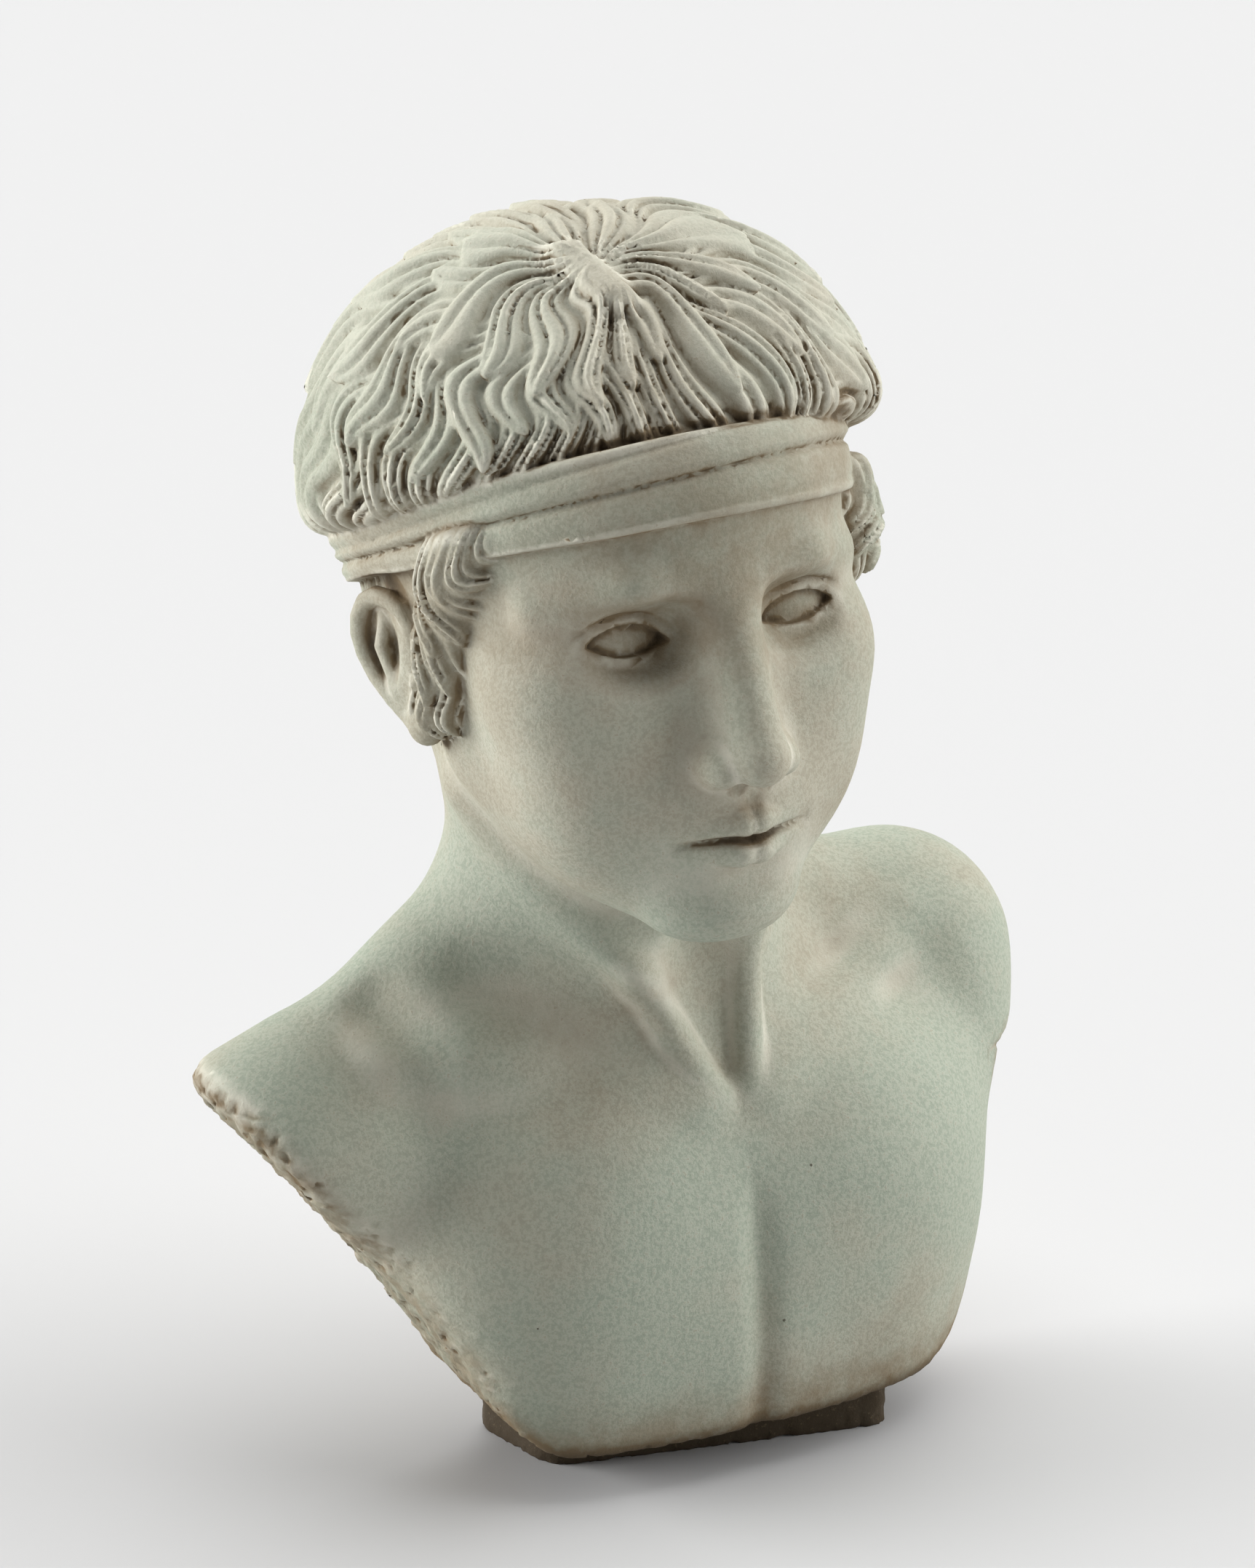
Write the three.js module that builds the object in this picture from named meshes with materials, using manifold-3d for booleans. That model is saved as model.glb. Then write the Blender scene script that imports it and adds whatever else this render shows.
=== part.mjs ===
// Bust of a young athlete with a headband, cast in one piece with its low foot.
// Millimetres, +Z up. The chest faces -Y and the figure's left side is +X.
// The origin is the middle of the foot's underside.
//
// The figure is a set of rounded forms that melt into one another. It is meshed on a grid,
// simplified, trimmed to the bust's outline and joined to its foot.

import * as THREE from 'three';
import { mergeVertices } from 'three/addons/utils/BufferGeometryUtils.js';
import Module from 'manifold-3d';

const wasm = await Module();
wasm.setup();

// Driving dimensions
const HEAD_HEIGHT = 230; // chin to the top of the hair, which sets the size of the whole figure
const FOOT_WIDTH = 134; // along its back
const FOOT_DEPTH = 69; // along its left side
const FOOT_SHORT_DEPTH = 43; // along its right side, because the front runs askew
const FOOT_TAPER = 10; // how far the right side leans in towards the front
const FOOT_HEIGHT = 18;
const FOOT_CORNER = 9; // how far each upright corner is rounded back
const FOOT_SINK = 5; // how far the foot runs up into the chest it is cast with
const MESH_STEP = 3; // grid step that the figure is sculpted on
const FIGURE_TRIANGLES = 10800;

// Every form below is written for a head this high and scaled to HEAD_HEIGHT
const REFERENCE_HEAD = 230;
const SCALE = HEAD_HEIGHT / REFERENCE_HEAD;

// Pose. The figure's frame has its height from the ground, and its midline runs through the
// throat. The head's own frame has its origin between the ears at eye level.
const FIGURE_AT = [4.5, -20.5, 0]; // from the middle of the foot
const HEAD_AT = [-32, 23, 324];
const HEAD_ROLL = THREE.MathUtils.degToRad(3); // leans to the figure's right

// Headband, whose plane falls from the hairline to the back of the head
const BAND_FRONT = [0, -84, 53];
const BAND_FALL = THREE.MathUtils.degToRad(20);
const BAND_HALF = 14; // half its width over the forehead
const BAND_NARROWING = 5; // how much of that it loses round the back
const BAND_THICK = 4.5;

// Distances to simple solids, negative inside
function ellipsoid(at, radii) {
  return (x, y, z) => {
    const dx = x - at[0];
    const dy = y - at[1];
    const dz = z - at[2];
    const k0 = Math.hypot(dx / radii[0], dy / radii[1], dz / radii[2]);
    const k1 = Math.hypot(dx / radii[0] ** 2, dy / radii[1] ** 2, dz / radii[2] ** 2);
    return (k0 * (k0 - 1)) / (k1 + 1e-9);
  };
}

function limb(from, to, startRadius, endRadius) {
  const along = to.map((value, i) => value - from[i]);
  const lengthSquared = along.reduce((sum, value) => sum + value * value, 0);
  return (x, y, z) => {
    const px = x - from[0];
    const py = y - from[1];
    const pz = z - from[2];
    const t = (px * along[0] + py * along[1] + pz * along[2]) / lengthSquared;
    const s = Math.min(1, Math.max(0, t));
    const gap = Math.hypot(px - s * along[0], py - s * along[1], pz - s * along[2]);
    return gap - (startRadius + s * (endRadius - startRadius));
  };
}

// Ways to combine them: blend is how wide the two surfaces melt into each other
function smoothJoin(a, b, blend) {
  const h = Math.max(blend - Math.abs(a - b), 0) / (blend + 1e-9);
  return Math.min(a, b) - (h * h * blend) / 4;
}

function smoothCut(a, b, blend) {
  return -smoothJoin(-a, b, blend);
}

const join = (blend, shape) => ({ blend, shape, cuts: false });
const cut = (blend, shape) => ({ blend, shape, cuts: true });
const pair = (form) => ({ ...form, shape: (x, y, z) => form.shape(Math.abs(x), y, z) });

function sculpt(forms, x, y, z, start = 1e3) {
  let distance = start;
  for (const form of forms) {
    const other = form.shape(x, y, z);
    const combine = form.cuts ? smoothCut : smoothJoin;
    distance = combine(distance, other, form.blend);
  }
  return distance;
}

// Head, in its own frame: eye level is z 0 and the face looks along -Y
const SKULL = [
  join(0, ellipsoid([0, 8, 24], [76, 90, 86])), // cranium
  join(14, ellipsoid([0, -28, 34], [60, 60, 48])), // forehead
];

const FACE = [
  join(24, ellipsoid([0, -24, -34], [62, 62, 76])), // mask of the face
  pair(join(20, limb([46, -8, -50], [13, -66, -90], 17, 15))), // jaw
  join(14, ellipsoid([0, -74, -93], [19, 17, 14])), // chin
  pair(join(22, ellipsoid([43, -52, -20], [22, 22, 19]))), // cheekbone
  pair(join(22, ellipsoid([32, -54, -50], [25, 24, 30]))), // cheek
  join(16, ellipsoid([0, -67, -62], [30, 26, 23])), // muzzle
  pair(join(12, limb([8, -80, 14], [30, -77.5, 19], 4.5, 4))), // inner brow
  pair(join(12, limb([30, -77.5, 19], [54, -56, 11], 4, 4))), // outer brow
  pair(cut(7, ellipsoid([31, -93, -1], [20, 21.5, 13]))), // eye socket
  pair(cut(8, ellipsoid([19, -92, 3], [8, 14, 9]))), // its inner corner
  join(8, limb([0, -82, 16], [0, -103, -36], 7, 8)), // bridge of the nose
  join(13, limb([0, -76, 2], [0, -86, -38], 8, 12.5)), // root of the nose
  join(4, ellipsoid([0, -103.5, -38], [9, 9, 8.5])), // tip of the nose
  pair(join(4, ellipsoid([11, -92.5, -41], [6, 9.5, 6.5]))), // nostril wing
  pair(cut(2, ellipsoid([5.5, -99, -49], [3, 5.5, 4]))), // nostril
  pair(join(3.5, ellipsoid([30.5, -58.5, -1.5], [16, 15.6, 13.6]))), // eyelids
  pair(cut(0.8, ellipsoid([30.5, -76, -1], [13, 5, 4.5]))), // opening between them
  pair(join(0.5, ellipsoid([30.5, -58.5, -1.5], [19, 13, 15]))), // eyeball
  cut(4, ellipsoid([0, -98, -55], [3.2, 4.5, 8])), // groove above the lip
  pair(join(4, limb([3, -90.8, -62.5], [20.5, -82.5, -66], 4.6, 1.6))), // upper lip
  pair(join(4, limb([3, -89.5, -72], [15.5, -84, -69.5], 5.6, 2.6))), // lower lip
  pair(cut(3, limb([0, -96.5, -66.8], [20, -86, -67], 1.6, 0.6))), // line of the mouth
  cut(9, ellipsoid([0, -99.5, -83], [15, 8.5, 5])), // hollow under the lip
];

const EAR = [
  join(0, ellipsoid([71.5, 9, -20], [8, 14, 23])),
  join(6, ellipsoid([67, 0, -17], [8, 14, 26])), // where it grows from the head
  join(3, ellipsoid([72, -4, -40], [6, 7.5, 7.5])), // lobe
  cut(4, ellipsoid([83, 9, -18], [6, 8.5, 15])), // hollow
  join(3, limb([75.5, -1, -1], [79, 15, 0], 3.4, 3.6)), // top of the rim
  join(3, limb([79, 15, 0], [82, 23, -12], 3.6, 3.6)),
  join(3, limb([82, 23, -12], [79.5, 19, -26], 3.6, 3.4)),
  join(3, limb([79.5, 19, -26], [74, 2, -40], 3.4, 3)), // back of the rim down to the lobe
  join(2.5, limb([76.5, 13, -5], [76, 7, -30], 2.4, 2.6)), // inner fold
];

const LOW_HAIR = [
  join(0, ellipsoid([0, 31, 0], [70, 75, 78])),
  pair(join(6, limb([62, -31, 34], [68, -10, -33], 17, 10))),
  join(6, ellipsoid([66, -36, 15], [15, 14, 25])), // thicker tuft on the figure's left
];

const HAIR_MIDDLE = [0, 16, 29];
const HAIR_RADII = [91.5, 107, 87.5];
const HAIR_CAP = [
  join(0, ellipsoid(HAIR_MIDDLE, HAIR_RADII)),
  join(4, ellipsoid([16, 12, 32], [80, 98, 83])), // fuller at the upper left
];

// What the band is tied round: the forehead in front and hair at the back
const UNDER_BAND = [
  ...SKULL,
  join(20, ellipsoid([0, 30, 10], [72, 76, 80])),
];

// Locks lie in tiers that start one below the other and overlap like tiles
const CROWN_LOCKS = {
  amplitude: 5.2, width: 17, length: 62, start: 2, step: 25, tiers: 9, wave: 6, waveLength: 64, curl: 0.7,
};
const LOW_LOCKS = {
  amplitude: 4.6, width: 15, length: 32, start: -6, step: 15, tiers: 9,
  wave: 2.5, waveLength: 34, curl: 1.1,
};
const CROWN_TILT = THREE.MathUtils.degToRad(28); // the locks spring from a point forward of the top
const CROWN_LEAN = THREE.MathUtils.degToRad(8); // and a little to the figure's right
const CROWN_BEND = 0.3; // how much the locks bend towards the middle on their way down
const HAIR_RADIUS = 95;
const LOCK_SHOULDER = 0.45; // share of a lock's length before it starts to taper
const LOCK_SINK = 2.5; // how far the ground between the locks lies under the hair's outline
const LOCK_REACH = 14; // locks matter only this near the outline

const isNear = (distance) => Math.abs(distance) < LOCK_REACH;

function scatter(a, b) {
  const value = Math.sin(a * 127.1 + b * 311.7) * 43758.5453;
  return value - Math.floor(value);
}

// Height of the locks at a place: along is the distance down the hair, turn the angle round the
// head from its front, and girth the head's radius there
function lockHeight(locks, along, turn, girth) {
  let height = 0;
  const away = Math.tanh(turn * 4); // the locks fall away to both sides of the middle
  const sway = locks.wave * Math.sin((2 * Math.PI * along) / locks.waveLength + 2 * turn);
  const swayed = (turn + (away * sway) / Math.max(girth, 20)) / (2 * Math.PI);
  for (let tier = 0; tier < locks.tiers; tier++) {
    const start = locks.start + tier * locks.step;
    const s = (along - start) / locks.length;
    if (s <= 0 || s >= 1) continue;
    const middle = Math.min(start + locks.length / 2, (HAIR_RADIUS * Math.PI) / 2);
    const around = locks === CROWN_LOCKS ? HAIR_RADIUS * Math.sin(middle / HAIR_RADIUS) : HAIR_RADIUS;
    const count = Math.max(7, Math.round((2 * Math.PI * around) / locks.width));
    const q = swayed * count + 0.5 * (tier % 2) + locks.curl * away * s * s;
    const index = Math.floor(q);
    const trim = 0.8 + 0.2 * scatter(index, tier);
    const t = s / trim;
    if (t >= 1) continue;
    const taper = Math.max(0, (t - LOCK_SHOULDER) / (1 - LOCK_SHOULDER));
    const half = Math.sqrt(1 - taper * taper);
    const across = Math.abs(2 * (q - index) - 1) / half;
    if (across >= 1) continue;
    const rise = 0.35 + 0.65 * Math.min(1, 1.6 * t);
    height = Math.max(height, locks.amplitude * rise * Math.sqrt(1 - across * across));
  }
  return height;
}

function crownLocks(x, y, z) {
  const dx = x - HAIR_MIDDLE[0];
  const dy = y - HAIR_MIDDLE[1];
  const dz = z - HAIR_MIDDLE[2];
  const rise = -dy * Math.sin(CROWN_TILT) + dz * Math.cos(CROWN_TILT);
  const back = dy * Math.cos(CROWN_TILT) + dz * Math.sin(CROWN_TILT);
  const side = dx * Math.cos(CROWN_LEAN) + rise * Math.sin(CROWN_LEAN);
  const up = -dx * Math.sin(CROWN_LEAN) + rise * Math.cos(CROWN_LEAN);
  const girth = Math.hypot(side, back);
  // Uneven waves keep the tiers from looking like rows
  const down = HAIR_RADIUS * Math.atan2(girth, up) + 9 * Math.sin(x / 19 + 1) * Math.sin(y / 23 + z / 31);
  const round = Math.atan2(side, -back);
  const bent = (CROWN_BEND * Math.tanh(4 * round) * down) / HAIR_RADIUS;
  const waved = 0.09 * Math.sin(down / 17 + x / 13) * Math.min(1, girth / 40);
  return lockHeight(CROWN_LOCKS, down, round + bent + waved, girth);
}

function lowLocks(x, y, z, belowBand) {
  const round = Math.atan2(x, HAIR_MIDDLE[1] - y);
  const down = belowBand + 5 * Math.sin(round * 9 + 1);
  return lockHeight(LOW_LOCKS, down, round + 0.05 * Math.sin(down / 7 + round * 5), HAIR_RADIUS);
}

function headField(x, y, z) {
  const skull = sculpt(SKULL, x, y, z);
  let distance = sculpt(FACE, x, y, z, skull);
  const behind = y - BAND_FRONT[1];
  const aboveBand = behind * Math.sin(BAND_FALL) + (z - BAND_FRONT[2]) * Math.cos(BAND_FALL);
  const bandHalf = BAND_HALF - BAND_NARROWING * Math.min(1, Math.max(0, behind / HAIR_RADIUS));
  const lowHair = sculpt(LOW_HAIR, x, y, z);
  const low = lowHair + LOCK_SINK - (isNear(lowHair) ? lowLocks(x, y, z, -aboveBand - bandHalf) : 0);
  distance = smoothJoin(distance, smoothCut(low, -aboveBand, 6), 1.5);
  distance = smoothJoin(distance, sculpt(EAR, Math.abs(x), y, z), 3);
  const cap = sculpt(HAIR_CAP, x, y, z);
  const crown = cap + LOCK_SINK - (isNear(cap) ? crownLocks(x, y, z) : 0);
  distance = smoothJoin(distance, smoothCut(crown, aboveBand - bandHalf + 3, 16), 1);
  const underBand = sculpt(UNDER_BAND, x, y, z);
  const band = smoothCut(underBand - BAND_THICK, bandHalf - Math.abs(aboveBand), 2);
  return smoothJoin(distance, band, 1);
}

// Neck, shoulders and chest, in the figure's frame
const BODY = [
  join(0, ellipsoid([0, 66, 60], [128, 94, 125])), // rib cage
  join(24, limb([-50, 32, 36], [50, 32, 36], 52, 52)), // front of the lower ribs
  pair(join(26, ellipsoid([50, 22, 88], [60, 46, 56]))), // breast
  pair(join(24, limb([52, 22, 102], [108, 48, 122], 34, 30))), // front of the armpit
  join(20, ellipsoid([-136, 56, 121], [52, 44, 42])), // right shoulder
  join(20, ellipsoid([110, 70, 148], [42, 42, 42])), // left shoulder
  join(20, limb([-40, 62, 196], [-118, 62, 146], 32, 22)), // right slope of the neck
  join(20, limb([14, 64, 184], [100, 72, 158], 30, 27)), // left slope of the neck
  join(20, limb([0, 56, 130], [-34, 46, 262], 56, 49)), // neck
  join(14, limb([-14, -1, 135], [-112, 36, 155], 6, 6)), // right collarbone
  join(14, limb([14, -1, 135], [92, 42, 168], 6, 6)), // left collarbone
  cut(12, limb([1, -10, 152], [-10, -3, 192], 6, 8)), // hollow of the throat
  join(7, limb([-6, -5, 138], [-34, 3, 184], 4, 6.5)), // right neck cord
  join(9, limb([-34, 3, 184], [-74, 37, 250], 6.5, 12)), // its upper part
  join(7, limb([7, -5, 138], [12, 8, 196], 4, 6)), // left neck cord
  join(9, limb([12, 8, 196], [16, 26, 236], 6, 10)), // its upper part
  cut(9, limb([-36, 0, 164], [-58, 10, 174], 4, 4)), // hollow over the right collarbone
  cut(14, ellipsoid([-112, 22, 160], [14, 14, 10])), // hollow by the right shoulder
  cut(14, limb([84, 30, 186], [112, 18, 154], 6, 5)), // hollow by the left shoulder
];

const HEAD_MELT = 12; // how widely the head and neck melt together
// No part of the head lies further than this from its origin
const HEAD_REACH = Math.hypot(...HAIR_MIDDLE) + Math.max(...HAIR_RADII) + 2 * HEAD_MELT;
const BODY_REACH = 320; // no part of the body is higher

function figureField(x, y, z) {
  const [px, py, pz] = [x / SCALE - FIGURE_AT[0], y / SCALE - FIGURE_AT[1], z / SCALE - FIGURE_AT[2]];
  const [dx, dy, dz] = [px - HEAD_AT[0], py - HEAD_AT[1], pz - HEAD_AT[2]];
  const fromHead = Math.hypot(dx, dy, dz);
  const body = pz < BODY_REACH ? sculpt(BODY, px, py, pz) : pz - BODY_REACH + HEAD_MELT;
  if (fromHead > HEAD_REACH) return SCALE * Math.min(body, fromHead - HEAD_REACH + HEAD_MELT);
  const hx = dx * Math.cos(HEAD_ROLL) + dz * Math.sin(HEAD_ROLL);
  const hz = -dx * Math.sin(HEAD_ROLL) + dz * Math.cos(HEAD_ROLL);
  return SCALE * smoothJoin(body, headField(hx, dy, hz), HEAD_MELT);
}

// Field values on a grid. Blocks of the grid that lie well clear of the surface take one value.
const BLOCK = 6;

function sampleField(field, low, counts, step) {
  const [nx, ny, nz] = counts;
  const values = new Float32Array(nx * ny * nz);
  const reach = BLOCK * step * 1.3;
  for (let bz = 0; bz < nz; bz += BLOCK) {
    for (let by = 0; by < ny; by += BLOCK) {
      for (let bx = 0; bx < nx; bx += BLOCK) {
        const [mx, my, mz] = [bx, by, bz].map((b, i) => low[i] + (b + BLOCK / 2) * step);
        const middle = field(mx, my, mz);
        const clear = Math.abs(middle) > reach;
        for (let k = bz; k < Math.min(bz + BLOCK, nz); k++) {
          for (let j = by; j < Math.min(by + BLOCK, ny); j++) {
            for (let i = bx; i < Math.min(bx + BLOCK, nx); i++) {
              const edge = i === 0 || j === 0 || k === 0 || i === nx - 1 || j === ny - 1 || k === nz - 1;
              let value = middle;
              if (!clear) value = field(low[0] + i * step, low[1] + j * step, low[2] + k * step);
              values[(k * ny + j) * nx + i] = edge ? Math.max(value, step / 2) : value;
            }
          }
        }
      }
    }
  }
  return values;
}

// The six ways to walk from a grid cell's low corner to its high corner, one axis at a time
const WALKS = [[1, 2, 4], [2, 1, 4], [1, 4, 2], [4, 1, 2], [2, 4, 1], [4, 2, 1]];
const NEAREST = 0.04; // a vertex keeps this share of a grid edge clear of the edge's ends

// Closed surface where the field is zero, as shared points and triangles
function meshField(field, low, high, step) {
  const counts = low.map((value, i) => Math.ceil((high[i] - value) / step) + 1);
  const [nx, ny, nz] = counts;
  const values = sampleField(field, low, counts, step);
  const points = [];
  const triangles = [];
  const pointOfEdge = new Map();
  const offset = (corner) => (corner & 1) + (corner & 2 ? nx : 0) + (corner & 4 ? nx * ny : 0);
  const place = (node) => [node % nx, Math.floor(node / nx) % ny, Math.floor(node / (nx * ny))];

  function pointBetween(cell, a, b) {
    const [first, last] = a < b ? [a, b] : [b, a];
    const key = (cell + offset(first)) * 8 + (last ^ first);
    if (pointOfEdge.has(key)) return pointOfEdge.get(key);
    const [va, vb] = [values[cell + offset(first)], values[cell + offset(last)]];
    const t = Math.min(1 - NEAREST, Math.max(NEAREST, va / (va - vb)));
    const [pa, pb] = [place(cell + offset(first)), place(cell + offset(last))];
    points.push(...pa.map((value, i) => low[i] + step * (value + t * (pb[i] - value))));
    pointOfEdge.set(key, points.length / 3 - 1);
    return points.length / 3 - 1;
  }

  // A triangle whose outer side faces from the inner corner to the outer one
  function addTriangle(a, b, c, inner, outer) {
    const at = (index) => [points[3 * index], points[3 * index + 1], points[3 * index + 2]];
    const [pa, pb, pc] = [at(a), at(b), at(c)];
    const u = pb.map((value, i) => value - pa[i]);
    const v = pc.map((value, i) => value - pa[i]);
    const facing =
      (u[1] * v[2] - u[2] * v[1]) * (outer[0] - inner[0]) +
      (u[2] * v[0] - u[0] * v[2]) * (outer[1] - inner[1]) +
      (u[0] * v[1] - u[1] * v[0]) * (outer[2] - inner[2]);
    if (facing > 0) triangles.push(a, b, c);
    else triangles.push(a, c, b);
  }

  const middleOf = (cell, corners) => {
    const places = corners.map((corner) => place(cell + offset(corner)));
    return [0, 1, 2].map((i) => places.reduce((sum, p) => sum + p[i], 0) / places.length);
  };

  for (let k = 0; k < nz - 1; k++) {
    for (let j = 0; j < ny - 1; j++) {
      for (let i = 0; i < nx - 1; i++) {
        const cell = (k * ny + j) * nx + i;
        let insideCount = 0;
        for (let corner = 0; corner < 8; corner++) insideCount += values[cell + offset(corner)] < 0;
        if (insideCount === 0 || insideCount === 8) continue;
        for (const [a, b] of WALKS) {
          const corners = [0, a, a | b, 7];
          const inside = corners.filter((corner) => values[cell + offset(corner)] < 0);
          const outside = corners.filter((corner) => values[cell + offset(corner)] >= 0);
          if (inside.length === 0 || outside.length === 0) continue;
          const inner = middleOf(cell, inside);
          const outer = middleOf(cell, outside);
          const p = inside.map((from) => outside.map((to) => pointBetween(cell, from, to)));
          if (inside.length === 1) addTriangle(p[0][0], p[0][1], p[0][2], inner, outer);
          else if (outside.length === 1) addTriangle(p[0][0], p[1][0], p[2][0], inner, outer);
          else {
            addTriangle(p[0][0], p[0][1], p[1][1], inner, outer);
            addTriangle(p[0][0], p[1][1], p[1][0], inner, outer);
          }
        }
      }
    }
  }
  return { points, triangles };
}

// Merges the edges that matter least to the shape until few triangles are left
function simplify({ points, triangles }, target, weightAt) {
  const position = Float64Array.from(points);
  const face = Int32Array.from(triangles);
  const pointCount = position.length / 3;
  const quadric = new Float64Array(pointCount * 10);
  const facesOf = Array.from({ length: pointCount }, () => new Set());
  const stamp = new Int32Array(pointCount);
  let left = face.length / 3;

  const normalOf = (ax, ay, az, bx, by, bz, cx, cy, cz) => {
    const [ux, uy, uz, vx, vy, vz] = [bx - ax, by - ay, bz - az, cx - ax, cy - ay, cz - az];
    return [uy * vz - uz * vy, uz * vx - ux * vz, ux * vy - uy * vx];
  };
  const faceNormal = (f, moved = -1, to = null) => {
    const p = [];
    for (let corner = 0; corner < 3; corner++) {
      const v = face[3 * f + corner];
      if (v === moved) p.push(...to);
      else p.push(position[3 * v], position[3 * v + 1], position[3 * v + 2]);
    }
    return normalOf(...p);
  };

  for (let f = 0; f < left; f++) {
    const [nx, ny, nz] = faceNormal(f);
    const size = Math.hypot(nx, ny, nz) + 1e-12;
    const v0 = 3 * face[3 * f];
    const [a, b, c] = [nx / size, ny / size, nz / size];
    const d = -(a * position[v0] + b * position[v0 + 1] + c * position[v0 + 2]);
    const weight = size * weightAt(position[v0], position[v0 + 1], position[v0 + 2]);
    const terms = [a * a, a * b, a * c, a * d, b * b, b * c, b * d, c * c, c * d, d * d];
    for (let corner = 0; corner < 3; corner++) {
      const v = face[3 * f + corner];
      facesOf[v].add(f);
      for (let i = 0; i < 10; i++) quadric[10 * v + i] += terms[i] * weight;
    }
  }

  const errorAt = (q, [x, y, z]) =>
    q[0] * x * x + 2 * q[1] * x * y + 2 * q[2] * x * z + 2 * q[3] * x + q[4] * y * y +
    2 * q[5] * y * z + 2 * q[6] * y + q[7] * z * z + 2 * q[8] * z + q[9];

  // The best point to merge an edge into, and what it costs
  function plan(a, b) {
    const q = new Array(10);
    for (let i = 0; i < 10; i++) q[i] = quadric[10 * a + i] + quadric[10 * b + i];
    const pa = [position[3 * a], position[3 * a + 1], position[3 * a + 2]];
    const pb = [position[3 * b], position[3 * b + 1], position[3 * b + 2]];
    const middle = pa.map((value, i) => (value + pb[i]) / 2);
    const span = Math.hypot(pa[0] - pb[0], pa[1] - pb[1], pa[2] - pb[2]);
    const options = [pa, pb, middle];
    const m = [q[4] * q[7] - q[5] * q[5], q[2] * q[5] - q[1] * q[7], q[1] * q[5] - q[2] * q[4]];
    const determinant = q[0] * m[0] + q[1] * m[1] + q[2] * m[2];
    const trace = q[0] + q[4] + q[7];
    if (Math.abs(determinant) > 1e-4 * trace ** 3) {
      const n = [q[0] * q[7] - q[2] * q[2], q[1] * q[2] - q[0] * q[5], q[0] * q[4] - q[1] * q[1]];
      const best = [
        -(m[0] * q[3] + m[1] * q[6] + m[2] * q[8]) / determinant,
        -(m[1] * q[3] + n[0] * q[6] + n[1] * q[8]) / determinant,
        -(m[2] * q[3] + n[1] * q[6] + n[2] * q[8]) / determinant,
      ];
      if (Math.hypot(best[0] - middle[0], best[1] - middle[1], best[2] - middle[2]) < 1.5 * span) {
        options.push(best);
      }
    }
    let chosen = null;
    for (const at of options) {
      const cost = errorAt(q, at);
      if (!chosen || cost < chosen.cost) chosen = { a, b, at, cost };
    }
    chosen.cost = Math.max(chosen.cost, 0) + 1e-5 * span ** 4;
    chosen.stampA = stamp[a];
    chosen.stampB = stamp[b];
    return chosen;
  }

  // Binary heap, cheapest first
  const heap = [];
  const lift = (entry) => {
    let i = heap.push(entry) - 1;
    while (i > 0) {
      const parent = (i - 1) >> 1;
      if (heap[parent].cost <= entry.cost) break;
      heap[i] = heap[parent];
      i = parent;
    }
    heap[i] = entry;
  };
  const take = () => {
    const top = heap[0];
    const entry = heap.pop();
    if (heap.length > 0) {
      let i = 0;
      for (;;) {
        let child = 2 * i + 1;
        if (child >= heap.length) break;
        if (child + 1 < heap.length && heap[child + 1].cost < heap[child].cost) child++;
        if (entry.cost <= heap[child].cost) break;
        heap[i] = heap[child];
        i = child;
      }
      heap[i] = entry;
    }
    return top;
  };

  const neighboursOf = (v) => {
    const found = new Set();
    for (const f of facesOf[v]) {
      for (let corner = 0; corner < 3; corner++) found.add(face[3 * f + corner]);
    }
    found.delete(v);
    return found;
  };

  const keepsFacing = (v, other, at) => {
    for (const f of facesOf[v]) {
      const corners = [face[3 * f], face[3 * f + 1], face[3 * f + 2]];
      if (corners.includes(other)) continue;
      const before = faceNormal(f);
      const after = faceNormal(f, v, at);
      const sizes = Math.hypot(...before) * Math.hypot(...after);
      const same = before[0] * after[0] + before[1] * after[1] + before[2] * after[2];
      if (same < 0.35 * sizes || Math.hypot(...after) < 1e-3) return false;
    }
    return true;
  };

  for (let v = 0; v < pointCount; v++) {
    for (const other of neighboursOf(v)) if (v < other) lift(plan(v, other));
  }
  while (left > target && heap.length > 0) {
    const { a, b, at, stampA, stampB } = take();
    if (stamp[a] !== stampA || stamp[b] !== stampB) continue;
    const around = neighboursOf(b);
    const shared = [...neighboursOf(a)].filter((v) => around.has(v));
    if (shared.length !== 2 || !keepsFacing(a, b, at) || !keepsFacing(b, a, at)) continue;
    for (const f of facesOf[b]) {
      const corners = [face[3 * f], face[3 * f + 1], face[3 * f + 2]];
      if (corners.includes(a)) {
        for (const corner of corners) if (corner !== b) facesOf[corner].delete(f);
        left--;
      } else {
        face[3 * f + corners.indexOf(b)] = a;
        facesOf[a].add(f);
      }
    }
    facesOf[b].clear();
    stamp[b] = -1;
    position.set(at, 3 * a);
    for (let i = 0; i < 10; i++) quadric[10 * a + i] += quadric[10 * b + i];
    stamp[a]++;
    for (const other of neighboursOf(a)) lift(plan(a, other));
  }

  const kept = [];
  const seen = new Set();
  for (const faces of facesOf) {
    for (const f of faces) {
      if (!seen.has(f)) kept.push(face[3 * f], face[3 * f + 1], face[3 * f + 2]);
      seen.add(f);
    }
  }
  return { points: position, triangles: kept };
}

function closedGeometry({ points, triangles }) {
  const geometry = new THREE.BufferGeometry();
  geometry.setAttribute('position', new THREE.Float32BufferAttribute(points, 3));
  geometry.setIndex(triangles);
  return geometry;
}

function toSolid(geometry) {
  const bare = geometry.clone();
  bare.deleteAttribute('normal');
  bare.deleteAttribute('uv');
  const merged = mergeVertices(bare, 1e-4);
  return new wasm.Manifold(
    new wasm.Mesh({
      numProp: 3,
      vertProperties: Float32Array.from(merged.attributes.position.array),
      triVerts: Uint32Array.from(merged.index.array),
    }),
  );
}

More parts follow.
